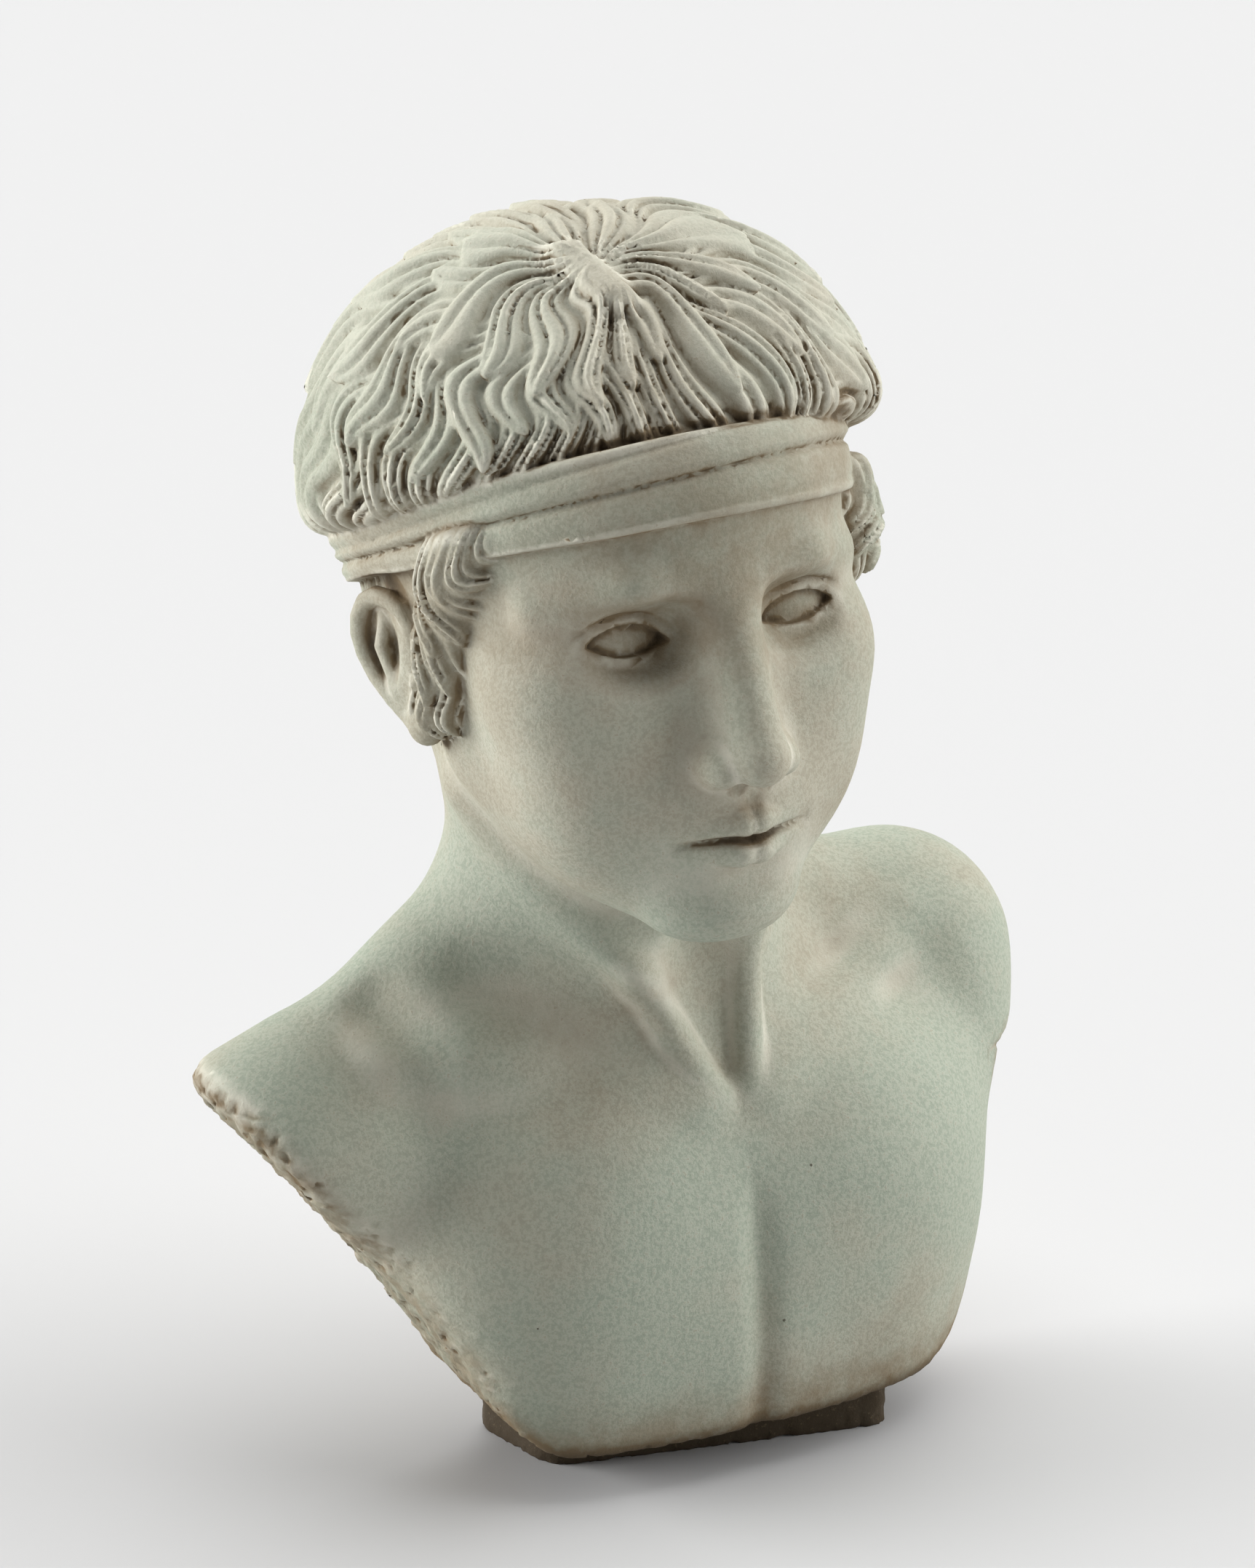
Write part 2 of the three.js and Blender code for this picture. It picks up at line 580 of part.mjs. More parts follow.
function toGeometry(solid) {
  const mesh = solid.getMesh();
  const geometry = new THREE.BufferGeometry();
  const positions = Float32Array.from(mesh.vertProperties);
  geometry.setAttribute('position', new THREE.BufferAttribute(positions, 3));
  geometry.setIndex(Array.from(mesh.triVerts));
  geometry.computeVertexNormals();
  return geometry;
}

const CURVE_STEPS = 10;

function extrude(outline, depth) {
  return new THREE.ExtrudeGeometry(outline, {
    depth, bevelEnabled: false, curveSegments: CURVE_STEPS,
  });
}

// The bust's front outline: the shoulders are cut back in a long slope to the foot
function frontTrim() {
  const s = (value) => value * SCALE;
  const outline = new THREE.Shape();
  outline.moveTo(s(-66), FOOT_HEIGHT);
  outline.quadraticCurveTo(s(-82), s(24), s(-94), s(50));
  outline.quadraticCurveTo(s(-133), s(108), s(-168), s(146));
  outline.lineTo(s(-215), s(176));
  outline.lineTo(s(-215), s(520));
  outline.lineTo(s(215), s(520));
  outline.lineTo(s(215), s(150));
  outline.lineTo(s(132), s(122));
  outline.quadraticCurveTo(s(127), s(104), s(122), s(72));
  outline.quadraticCurveTo(s(114), s(24), s(80), FOOT_HEIGHT);
  outline.closePath();
  const depth = s(400);
  const geometry = extrude(outline, depth);
  geometry.rotateX(Math.PI / 2);
  geometry.translate(0, depth / 2, 0);
  return geometry;
}

// The back: hollowed in a slope from the shoulder blades down to the foot
function backTrim() {
  const s = (value) => value * SCALE;
  const outline = new THREE.Shape();
  outline.moveTo(s(-150), 0);
  outline.lineTo(s(30), 0);
  outline.quadraticCurveTo(s(32), s(110), s(100), s(172));
  outline.lineTo(s(200), s(250));
  outline.lineTo(s(200), s(540));
  outline.lineTo(s(-150), s(540));
  outline.closePath();
  const depth = s(460);
  const geometry = extrude(outline, depth);
  // The outline's x runs along Y and its y runs along Z
  geometry.rotateX(Math.PI / 2);
  geometry.rotateZ(Math.PI / 2);
  geometry.translate(-depth / 2, 0, 0);
  return geometry;
}

function footGeometry() {
  const [w, d] = [FOOT_WIDTH / 2, FOOT_DEPTH / 2];
  const corners = [[-w, d], [-w + FOOT_TAPER, d - FOOT_SHORT_DEPTH], [w, -d], [w, d]];
  const plan = new THREE.Shape();
  corners.forEach((corner, i) => {
    const [before, after] = [corners[(i + 3) % 4], corners[(i + 1) % 4]];
    const towards = (other) => {
      const share = FOOT_CORNER / Math.hypot(other[0] - corner[0], other[1] - corner[1]);
      return corner.map((value, axis) => value + share * (other[axis] - value));
    };
    if (i === 0) plan.moveTo(...towards(before));
    else plan.lineTo(...towards(before));
    plan.quadraticCurveTo(...corner, ...towards(after));
  });
  plan.closePath();
  return extrude(plan, FOOT_HEIGHT + FOOT_SINK);
}

// How carefully each place is kept when the mesh is simplified: the face most, then the rest
// of the head
const NECK_Z = 225;
const FACE_Y = -45;
const FACE_TOP = 350;

function careAt(x, y, z) {
  if (z < NECK_Z * SCALE) return 1;
  return y < FACE_Y * SCALE && z < FACE_TOP * SCALE ? 8 : 2;
}

function bustGeometry() {
  const low = [-200, -110, -30].map((value) => value * SCALE);
  const high = [190, 170, 470].map((value) => value * SCALE);
  const rough = meshField(figureField, low, high, MESH_STEP * SCALE);
  const figure = toSolid(closedGeometry(simplify(rough, FIGURE_TRIANGLES, careAt)));
  const trimmed = figure.intersect(toSolid(frontTrim())).intersect(toSolid(backTrim()));
  return toGeometry(trimmed.add(toSolid(footGeometry())));
}

const plaster = new THREE.MeshStandardMaterial({ color: 0xa9ad99, roughness: 0.9, metalness: 0 });

const bust = new THREE.Mesh(bustGeometry(), plaster);
bust.name = 'bust';

const statue = new THREE.Group();
statue.name = 'athlete_bust';
statue.add(bust);

export default statue;
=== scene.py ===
# Plaster bust of a young athlete with a headband, standing on a pale floor.
# The carving is worked out in millimetres, in the part's own frame: +Z up, the chest faces -Y
# and the figure's left side is +X. Blender's objects are in metres in the same frame.
#
# The figure is a set of rounded forms that melt into one another, given as distances to the
# surface, negative inside. Its locks, lids, folds and worn edges are carved into that
# distance, which is then meshed on a grid.

import math
from concurrent.futures import ThreadPoolExecutor

import bpy
import numpy as np
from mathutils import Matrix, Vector


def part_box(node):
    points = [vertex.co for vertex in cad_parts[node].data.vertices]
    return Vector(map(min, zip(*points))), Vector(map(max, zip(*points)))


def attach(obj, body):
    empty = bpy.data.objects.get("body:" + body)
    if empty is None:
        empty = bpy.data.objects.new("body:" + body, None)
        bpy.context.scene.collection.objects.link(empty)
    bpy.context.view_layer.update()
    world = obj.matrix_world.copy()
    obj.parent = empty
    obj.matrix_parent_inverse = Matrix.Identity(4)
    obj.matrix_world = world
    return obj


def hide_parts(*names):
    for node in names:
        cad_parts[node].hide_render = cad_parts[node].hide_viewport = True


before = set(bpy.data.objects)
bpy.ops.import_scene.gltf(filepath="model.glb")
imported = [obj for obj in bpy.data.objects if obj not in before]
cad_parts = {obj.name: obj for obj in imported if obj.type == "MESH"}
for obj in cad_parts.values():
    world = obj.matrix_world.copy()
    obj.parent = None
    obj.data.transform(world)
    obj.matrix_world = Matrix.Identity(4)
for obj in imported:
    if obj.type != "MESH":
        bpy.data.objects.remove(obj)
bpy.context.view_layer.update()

MILLIMETRE = 0.001

# Mesh
GRID_STEP = 1.05
TRIANGLES = 196000
BLOCK = 8  # grid cells along one side of a block
NEAR_BLOCKS = 1.35  # blocks nearer the surface than this are worked out in full
CHUNK = 40000  # points worked out at a time
WORKERS = 4
MARGIN = 4  # empty space kept round the figure in the grid
LEAST_STEEP = 0.25
MOST_MOVE = 0.5  # furthest that a point is moved onto the surface

# Pose
FIGURE_AT = (4.5, -20.5, 0)  # the figure's frame, from the middle of the foot
HEAD_AT = (-32, 23, 324)  # between the ears at eye level, in the figure's frame
HEAD_ROLL = math.radians(3)
HEAD_MELT = 12
HEAD_REACH = 165
BODY_REACH = 320

# Foot, whose front runs askew
FOOT_WIDTH = 134
FOOT_DEPTH = 69
FOOT_SHORT_DEPTH = 43
FOOT_TAPER = 10
FOOT_HEIGHT = 18
FOOT_CORNER = 9
FOOT_SINK = 5

# Headband: two strips wound one over the other
BAND_FRONT = (0, -84, 53)
BAND_FALL = math.radians(20)
BAND_HALF = 14
BAND_NARROWING = 5
BAND_THICK = 4.0
STRIP_STEP = 1.4  # how far the upper strip lies over the lower one
LINE_DEPTH = 1.9
LINE_WIDTH = 1.6

# Hair
HAIR_MIDDLE = (0, 16, 29)
HAIR_RADII = (91.5, 105.5, 86.4)
HAIR_RADIUS = 95
CROWN_TILT = math.radians(28)  # the locks spring from a point forward of the top
CROWN_LEAN = math.radians(8)  # and a little to the figure's right
LOCK_SHOULDER = 0.45  # share of a lock's length before it starts to taper
LOCK_SINK = 2.5
LOCK_FLOOR = 1.2  # height of the ground between the locks
LOCK_REACH = 14
CROWN_LOCKS = dict(
    amplitude=6.4, width=16, length=62, start=2, step=25, tiers=9, wave=6, wave_length=58,
    curl=0.9, bend=0.3, groove=2.6,
)
LOW_LOCKS = dict(
    amplitude=4.6, width=13, length=32, start=-16, step=15, tiers=10, wave=2.5, wave_length=34,
    curl=1.1, bend=0.0, groove=2.2,
)


# Distances to simple solids

def ellipsoid(at, radii):
    def distance(x, y, z):
        ax, ay, az = (x - at[0]) / radii[0], (y - at[1]) / radii[1], (z - at[2]) / radii[2]
        near = np.sqrt(ax * ax + ay * ay + az * az)
        bx, by, bz = ax / radii[0], ay / radii[1], az / radii[2]
        slope = np.sqrt(bx * bx + by * by + bz * bz)
        return near * (near - 1) / (slope + 1e-6)
    return distance


def limb(start, end, start_radius, end_radius):
    along = [b - a for a, b in zip(start, end)]
    length_squared = sum(value * value for value in along)

    def distance(x, y, z):
        px, py, pz = x - start[0], y - start[1], z - start[2]
        share = np.clip((px * along[0] + py * along[1] + pz * along[2]) / length_squared, 0, 1)
        gx, gy, gz = px - share * along[0], py - share * along[1], pz - share * along[2]
        radius = start_radius + share * (end_radius - start_radius)
        return np.sqrt(gx * gx + gy * gy + gz * gz) - radius
    return distance


def chain(points, radii):
    """One rounded rod through several points."""
    rods = [
        limb(start, end, start_radius, end_radius)
        for start, end, start_radius, end_radius in zip(points, points[1:], radii, radii[1:])
    ]

    def distance(x, y, z):
        nearest = rods[0](x, y, z)
        for rod in rods[1:]:
            nearest = np.minimum(nearest, rod(x, y, z))
        return nearest
    return distance


# Ways to combine them: blend is how wide two surfaces melt into each other

def smooth_join(a, b, blend):
    reach = np.maximum(blend - np.abs(a - b), 0)
    return np.minimum(a, b) - reach * reach / (4 * blend + 1e-6)


def smooth_cut(a, b, blend):
    return -smooth_join(-a, b, blend)


def join(blend, shape):
    return blend, shape, False


def cut(blend, shape):
    return blend, shape, True


def pair(form):
    blend, shape, cuts = form
    return blend, lambda x, y, z: shape(np.abs(x), y, z), cuts


def sculpt(forms, x, y, z, start=None):
    distance = np.full_like(x, 1e3) if start is None else start
    for blend, shape, cuts in forms:
        combine = smooth_cut if cuts else smooth_join
        distance = combine(distance, shape(x, y, z), blend)
    return distance


def bell(value, width):
    return np.exp(-((value / width) ** 2))


def ease(value, low, high):
    """0 below low, 1 above high, and a smooth rise between them."""
    share = np.clip((value - low) / (high - low), 0, 1)
    return share * share * (3 - 2 * share)


# Random values that are the same on each run

NOISE_SIZE = 64
NOISE = np.random.default_rng(20).random((NOISE_SIZE,) * 3).astype(np.float32)


def noise(x, y, z, size, seed=0):
    """Smooth random values from -1 to 1 that change over about size millimetres."""
    cells, shares = [], []
    for value in (x, y, z):
        grid = value / size + 17.3 * seed
        low = np.floor(grid)
        share = grid - low
        cells.append(low.astype(np.int32) % NOISE_SIZE)
        shares.append(share * share * (3 - 2 * share))
    total = np.zeros_like(x)
    for corner in range(8):
        weight = np.ones_like(x)
        index = []
        for axis in range(3):
            up = corner >> axis & 1
            index.append((cells[axis] + up) % NOISE_SIZE)
            weight = weight * (shares[axis] if up else 1 - shares[axis])
        total += weight * NOISE[tuple(index)]
    return 2 * total - 1


def scatter(a, b):
    value = np.sin(a * 127.1 + b * 311.7) * 437.585
    return value - np.floor(value)


# Head, in its own frame: eye level is z 0 and the face looks along -Y

SKULL = [
    join(0, ellipsoid((0, 8, 24), (76, 90, 86))),  # cranium
    join(14, ellipsoid((0, -28, 34), (60, 60, 48))),  # forehead
]

FACE = [
    join(24, ellipsoid((0, -24, -34), (62, 62, 76))),  # mask of the face
    pair(join(20, limb((46, -8, -50), (13, -66, -90), 17, 15))),  # jaw
    join(14, ellipsoid((0, -74, -93), (19, 17, 14))),  # chin
    pair(join(22, ellipsoid((43, -52, -20), (22, 22, 19)))),  # cheekbone
    pair(join(22, ellipsoid((32, -54, -50), (25, 24, 30)))),  # cheek
    join(16, ellipsoid((0, -67, -62), (30, 26, 23))),  # muzzle
    pair(join(12, limb((8, -80, 14), (30, -77.5, 19), 4.5, 4))),  # inner brow
    pair(join(12, limb((30, -77.5, 19), (54, -56, 11), 4, 4))),  # outer brow
    pair(cut(7, ellipsoid((31, -93.5, -0.5), (21, 24.5, 14.5)))),  # eye socket
    pair(cut(8, ellipsoid((19, -93, 3), (8.5, 17.5, 10)))),  # its inner corner
    join(8, limb((0, -82, 16), (0, -102, -36), 6.6, 7.6)),  # bridge of the nose
    join(13, limb((0, -76, 2), (0, -86, -38), 8, 12.5)),  # root of the nose
    join(4, ellipsoid((0, -102, -38), (8.8, 9, 8.3))),  # tip of the nose
    pair(join(4, ellipsoid((11, -92.5, -41), (6, 9.5, 6.5)))),  # nostril wing
    pair(cut(2, ellipsoid((5.5, -99, -49), (3, 5.5, 4)))),  # nostril
    cut(4, ellipsoid((0, -98.6, -55), (3, 4.2, 7))),  # groove above the lip
    pair(join(2.5, limb((3, -92.2, -62), (20.5, -83.4, -65.3), 5.5, 2))),  # upper lip
    pair(join(2.5, limb((3, -91.2, -72.8), (15.5, -85, -70), 6.4, 3.2))),  # lower lip
    cut(9, ellipsoid((0, -99.5, -83), (15, 8.5, 5))),  # hollow under the lip
]

# Eyes: a ball behind two lids that leave an almond open
EYE = (30.5, -58.5, -1.5)
LID_RADII = (16, 15.6, 13.6)
BALL_RADII = (19, 13, 15)
EYE_HALF = 14  # half the width of the opening
UPPER_RISE = 6
LOWER_RISE = 4.4
EYE_SLANT = 0.07
CREASE_GAP = 4.2  # from the upper lid's edge to the fold above it


MOUTH_HALF = 22
MOUTH_LEVEL = -66.6


def mouth_line(x, y, z):
    """Depth of the parting between the lips: it dips in the middle and at its ends."""
    line = MOUTH_LEVEL - 1.1 * bell(x, 4) - 0.0025 * x * x
    reach = ease(MOUTH_HALF - np.abs(x), -2, 5)
    corner = bell(np.abs(x) - MOUTH_HALF - 1, 3) * bell(z - MOUTH_LEVEL + 1, 3.5)
    return (y < -60) * (2.4 * bell(z - line, 1.4) * reach + 1.2 * corner)


def arc_radius(half, rise):
    return (half * half + rise * rise) / (2 * rise)


def eyes(distance, x, y, z):
    side = np.abs(x) - EYE[0]
    level = z - EYE[2] - EYE_SLANT * side
    upper_radius = arc_radius(EYE_HALF, UPPER_RISE)
    lower_radius = arc_radius(EYE_HALF, LOWER_RISE)
    above = np.hypot(side, level - UPPER_RISE + upper_radius) - upper_radius
    below = np.hypot(side, level + LOWER_RISE - lower_radius) - lower_radius
    almond = np.maximum(above, below)
    lids = ellipsoid(EYE, LID_RADII)(np.abs(x), y, z)
    ball = ellipsoid(EYE, BALL_RADII)(np.abs(x), y, z)
    distance = smooth_join(distance, lids, 3.5)
    in_front = y - EYE[1]
    distance = smooth_cut(distance, np.maximum(almond, in_front), 0.8)
    distance = smooth_join(distance, np.maximum(ball, almond - 2), 0.5)
    face = in_front < 0
    crease = bell(above - CREASE_GAP, 1.0) * ease(level, -2, 4) * bell(side, EYE_HALF)
    pouch = bell(below - 4.5, 1.6) * ease(-level, 0, 4) * bell(side, EYE_HALF)
    return distance + face * (1.3 * crease + 0.5 * pouch)


# Ears
EAR = [
    join(0, ellipsoid((71.5, 9, -20), (8, 14, 23))),
    join(6, ellipsoid((67, 0, -17), (8, 14, 26))),  # where it grows from the head
    join(3, ellipsoid((72, -4, -40), (6, 7.5, 7.5))),  # lobe
    join(3, ellipsoid((75.5, 15, -17), (5, 11, 18))),  # plate that carries the rim
    cut(4, ellipsoid((82, 10, -17), (7.5, 8.5, 14))),  # hollow
    join(2, chain(
        [(74, -2, -12), (74.6, -2, -6), (75.8, 1, -1.5), (77.5, 7, 1), (79.2, 14, 0.8),
         (80.8, 19.5, -2.5), (81.8, 22.5, -8), (82, 23, -14), (81, 21.5, -21), (79, 17.5, -28),
         (76.5, 10.5, -34.5), (74, 2, -40)],
        [2.2, 2.7, 3.1, 3.3, 3.4, 3.5, 3.5, 3.4, 3.3, 3.2, 3.1, 3.0])),  # rim
    join(2.5, chain([(76.5, 13, -5), (78, 14, -17), (76, 7, -30)], [2.2, 2.8, 2.6])),  # inner fold
    join(2.5, ellipsoid((74.5, -3, -21), (3.6, 3.4, 5))),  # flap in front
]

# Hair under the band: a tuft in front of each ear and the mass over the nape
LOW_HAIR = [
    join(0, ellipsoid((0, 31, 0), (70, 75, 78))),
    pair(join(6, limb((62, -31, 34), (68, -10, -33), 17, 10))),
    join(6, ellipsoid((66, -36, 15), (15, 14, 25))),  # thicker tuft on the figure's left
]

CAP = [
    join(0, ellipsoid(HAIR_MIDDLE, HAIR_RADII)),
    join(4, ellipsoid((16, 12, 32), (80, 98, 83))),  # fuller at the upper left
    join(5, limb((-17, -16, 109), (-15, -40, 99), 6, 7)),  # rise under the crest
]
CREST = limb((-16, -15, 112), (-13, -42, 102), 3, 5)  # the locks spring from it
BACK_OF_HEAD = [join(20, ellipsoid((0, 30, 10), (72, 76, 80)))]


def lock_height(locks, along, turn, girth):
    """Height of overlapping locks: along is the distance down the hair, turn the angle round
    the head from its front, and girth the head's radius there."""
    height = np.full_like(along, LOCK_FLOOR)
    away = np.tanh(4 * np.sin(turn)) * np.minimum(1, 1 + np.cos(turn))
    bent = turn + locks["bend"] * away * along / HAIR_RADIUS
    wave_phase = 2 * math.pi * along / locks["wave_length"] + 2 * turn
    sway_reach = locks["wave"] * away / np.maximum(girth, 20)
    for tier in range(locks["tiers"]):
        start = locks["start"] + tier * locks["step"]
        share = (along - start) / locks["length"]
        here = np.flatnonzero((share > 0) & (share < 1))
        if here.size == 0:
            continue
        share = share[here]
        middle = min(start + locks["length"] / 2, HAIR_RADIUS * math.pi / 2)
        around = HAIR_RADIUS
        if locks is CROWN_LOCKS:
            around = HAIR_RADIUS * math.sin(middle / HAIR_RADIUS)
        count = max(7, round(2 * math.pi * around / locks["width"]))
        swayed = bent[here] + sway_reach[here] * np.sin(wave_phase[here] + 1.1 * tier)
        q = count * swayed / (2 * math.pi) + 0.5 * (tier % 2)
        q = q + locks["curl"] * away[here] * share * share
        index = np.floor(q)
        chance = scatter(index, tier)
        t = share / (0.68 + 0.32 * chance)
        taper = np.clip((t - LOCK_SHOULDER) / (1 - LOCK_SHOULDER), 0, 0.999)
        half = np.sqrt(1 - taper * taper)
        across = (2 * (q - index) - 1) / half
        inside = (np.abs(across) < 1) & (t < 1)
        strands = 2 + (scatter(tier, index) > 0.3)
        phase = strands * (across + 1) / 2
        groove = (1 - np.abs(np.sin(math.pi * phase))) ** 1.3
        rise = 0.35 + 0.65 * np.minimum(1, 1.6 * t)
        rounded = np.sqrt(np.maximum(1 - across * across, 0))
        depth = locks["groove"] * groove * np.minimum(1, 4 * t) * (1 - taper ** 3)
        tall = locks["amplitude"] * (0.75 + 0.4 * chance) * rise * rounded - depth
        height[here] = -smooth_join(-height[here], -np.where(inside, tall, 0), 1.0)
    return height


def crown_place(x, y, z):
    """Where a point of the crown lies: distance from the whorl, angle round it, and girth."""
    dx, dy, dz = x - HAIR_MIDDLE[0], y - HAIR_MIDDLE[1], z - HAIR_MIDDLE[2]
    up = -dy * math.sin(CROWN_TILT) + dz * math.cos(CROWN_TILT)
    back = dy * math.cos(CROWN_TILT) + dz * math.sin(CROWN_TILT)
    side = dx * math.cos(CROWN_LEAN) + up * math.sin(CROWN_LEAN)
    up = -dx * math.sin(CROWN_LEAN) + up * math.cos(CROWN_LEAN)
    girth = np.hypot(side, back)
    return HAIR_RADIUS * np.arctan2(girth, up), np.arctan2(side, -back), girth


def crown_locks(x, y, z):
    along, turn, girth = crown_place(x, y, z)
    along = along + 9 * np.sin(x / 19 + 1) * np.sin(y / 23 + z / 31)
    turn = turn + 0.09 * np.sin(along / 17 + x / 13) * np.minimum(1, girth / 40)
    return lock_height(CROWN_LOCKS, along, turn, girth)


def low_locks(x, y, below_band):
    turn = np.arctan2(x, HAIR_MIDDLE[1] - y)
    below_band = below_band + 5 * np.sin(turn * 9 + 1)
    turn = turn + 0.05 * np.sin(below_band / 7 + turn * 5)
    return lock_height(LOW_LOCKS, below_band, turn, np.full_like(x, HAIR_RADIUS))


def locks_near(surface, height, *coordinates):
    """Carves locks into a surface, but only works them out close to it."""
    carved = surface + LOCK_SINK
    near = np.flatnonzero(np.abs(surface) < LOCK_REACH)
    if near.size:
        carved[near] -= height(*(value[near] for value in coordinates))
    return carved


def band_relief(x, above, half):
    """How far the strips of the band stand out, across and along its width."""
    middle = 1.5 + 0.045 * x
    top = half - 0.5 - 0.07 * np.maximum(0, 8 - x)
    fold = -half + 3.2 + 0.02 * x
    relief = STRIP_STEP * ease(above - middle, -0.4, 0.4)
    relief = relief - LINE_DEPTH * bell(above - middle, LINE_WIDTH)
    relief = relief + 0.7 * ease(above - top, -0.4, 0.4) - 1.1 * bell(above - top, LINE_WIDTH)
    return relief - 0.6 * bell(above - fold, 1.0) - 0.25 * bell(above - middle - 5, 1.5)


def head_field(x, y, z):
    skull = sculpt(SKULL, x, y, z)
    distance = skull.copy()
    in_face = np.flatnonzero(y < 20)
    if in_face.size:
        place = x[in_face], y[in_face], z[in_face]
        face = sculpt(FACE, *place, skull[in_face])
        distance[in_face] = eyes(face, *place) + mouth_line(*place)
    behind = y - BAND_FRONT[1]
    above = behind * math.sin(BAND_FALL) + (z - BAND_FRONT[2]) * math.cos(BAND_FALL)
    half = BAND_HALF - BAND_NARROWING * np.clip(behind / HAIR_RADIUS, 0, 1)
    low = locks_near(sculpt(LOW_HAIR, x, y, z), low_locks, x, y, -above - half)
    distance = smooth_join(distance, smooth_cut(low, -above, 6), 1.5)
    distance = smooth_join(distance, sculpt(EAR, np.abs(x), y, z), 2)
    crown = locks_near(sculpt(CAP, x, y, z), crown_locks, x, y, z)
    crown = smooth_join(crown, CREST(x, y, z), 4)
    distance = smooth_join(distance, smooth_cut(crown, above - half + 3, 16), 1)
    under = sculpt(BACK_OF_HEAD, x, y, z, skull)
    band = under - BAND_THICK - band_relief(x, above, half)
    band = smooth_cut(band, half - np.abs(above), 2)
    return smooth_join(distance, band, 0.8)


# Neck, shoulders and chest, in the figure's frame

BODY = [
    join(0, ellipsoid((0, 66, 60), (128, 94, 125))),  # rib cage
    join(24, limb((-50, 32, 36), (50, 32, 36), 52, 52)),  # front of the lower ribs
    pair(join(26, ellipsoid((50, 22, 88), (60, 46, 56)))),  # breast
    pair(join(24, limb((52, 22, 102), (108, 48, 122), 34, 30))),  # front of the armpit
    join(20, ellipsoid((-136, 56, 121), (52, 44, 42))),  # right shoulder
    join(20, ellipsoid((109.5, 70, 148), (41.5, 42, 42))),  # left shoulder
    join(20, limb((-40, 62, 196), (-118, 62, 146), 32, 22)),  # right slope of the neck
    join(20, limb((14, 64, 184), (100, 72, 158), 30, 27)),  # left slope of the neck
    join(20, limb((0, 56, 130), (-34, 46, 262), 56, 49)),  # neck
    join(14, limb((-14, -1, 135), (-112, 36, 155), 6, 6)),  # right collarbone
    join(14, limb((14, -1, 135), (92, 42, 168), 6, 6)),  # left collarbone
    cut(12, limb((1, -10, 152), (-10, -3, 192), 7.5, 9.5)),  # hollow of the throat
    join(5, limb((-6, -5, 138), (-34, 3, 184), 4, 6.5)),  # right neck cord
    join(9, limb((-34, 3, 184), (-74, 37, 250), 6.5, 12)),  # its upper part
    join(5, limb((7, -5, 138), (12, 8, 196), 4, 6)),  # left neck cord
    join(9, limb((12, 8, 196), (16, 26, 236), 6, 10)),  # its upper part
    join(22, ellipsoid((-76, 36, 155), (31, 20, 14))),  # fills the pit behind the right collarbone
    # Hollows over that collarbone, by the right shoulder and by the left one
    cut(12, chain([(-84, 30, 190), (-60, 9, 184), (-35, -8, 172)], [3, 6, 5])),
    cut(14, chain([(-113, 44, 177), (-106, 18, 168), (-112, 7, 146)], [5, 6, 4])),
    cut(14, chain([(70, 34, 202), (97, 21, 173), (111, 10, 148)], [5, 6, 4])),
]
MIDLINE_DEPTH = 2.6
MIDLINE_WIDTH = 6
MIDLINE_TOP = 118


def body_field(x, y, z):
    distance = sculpt(BODY, x, y, z)
    groove = bell(x - 1, MIDLINE_WIDTH) * ease(-z, -MIDLINE_TOP, 30 - MIDLINE_TOP)
    return distance + MIDLINE_DEPTH * groove * (y < 40)


def figure_field(x, y, z):
    px, py, pz = x - FIGURE_AT[0], y - FIGURE_AT[1], z - FIGURE_AT[2]
    dx, dy, dz = px - HEAD_AT[0], py - HEAD_AT[1], pz - HEAD_AT[2]
    from_head = np.sqrt(dx * dx + dy * dy + dz * dz)
    distance = from_head - HEAD_REACH + HEAD_MELT
    lower = np.flatnonzero(pz < BODY_REACH)
    body = pz - BODY_REACH + HEAD_MELT
    if lower.size:
        body[lower] = body_field(px[lower], py[lower], pz[lower])
    near = np.flatnonzero(from_head < HEAD_REACH)
    distance = np.minimum(distance, body)
    if near.size:
        dx, dy, dz = dx[near], dy[near], dz[near]
        hx = dx * math.cos(HEAD_ROLL) + dz * math.sin(HEAD_ROLL)
        hz = -dx * math.sin(HEAD_ROLL) + dz * math.cos(HEAD_ROLL)
        distance[near] = smooth_join(body[near], head_field(hx, dy, hz), HEAD_MELT)
    return distance


# The bust's cut faces: its sides slope in to the foot and its back is hollowed

def bend(start, pull, end, steps=10):
    """Points on a curve from start to end, drawn towards pull."""
    shares = [i / steps for i in range(steps + 1)]
    return [
        tuple(
            (1 - t) ** 2 * a + 2 * t * (1 - t) * b + t * t * c
            for a, b, c in zip(start, pull, end)
        )
        for t in shares
    ]


RIGHT_SIDE = (
    [(-66, 0)] + bend((-66, FOOT_HEIGHT), (-82, 24), (-94, 50))
    + bend((-94, 50), (-133, 108), (-168, 146))[1:] + [(-215, 176), (-900, 580)]
)
LEFT_SIDE = (
    [(80, 0)] + bend((80, FOOT_HEIGHT), (114, 24), (122, 72))
    + bend((122, 72), (127, 104), (132, 122))[1:] + [(215, 150), (900, 380)]
)
BACK_SIDE = [(30, 0)] + bend((30, 1), (32, 110), (100, 172)) + [(200, 250), (480, 470)]


def beyond(points, across, z, sign):
    """Distance past an edge line, given as places across at rising heights."""
    places = np.array([p[0] for p in points], np.float32)
    heights = np.array([p[1] for p in points], np.float32)
    at = np.interp(z, heights, places).astype(np.float32)
    slopes = np.diff(places) / np.maximum(np.diff(heights), 1e-3)
    slope = slopes[np.clip(np.searchsorted(heights, z) - 1, 0, len(slopes) - 1)]
    return sign * (across - at) / np.sqrt(1 + slope * slope)


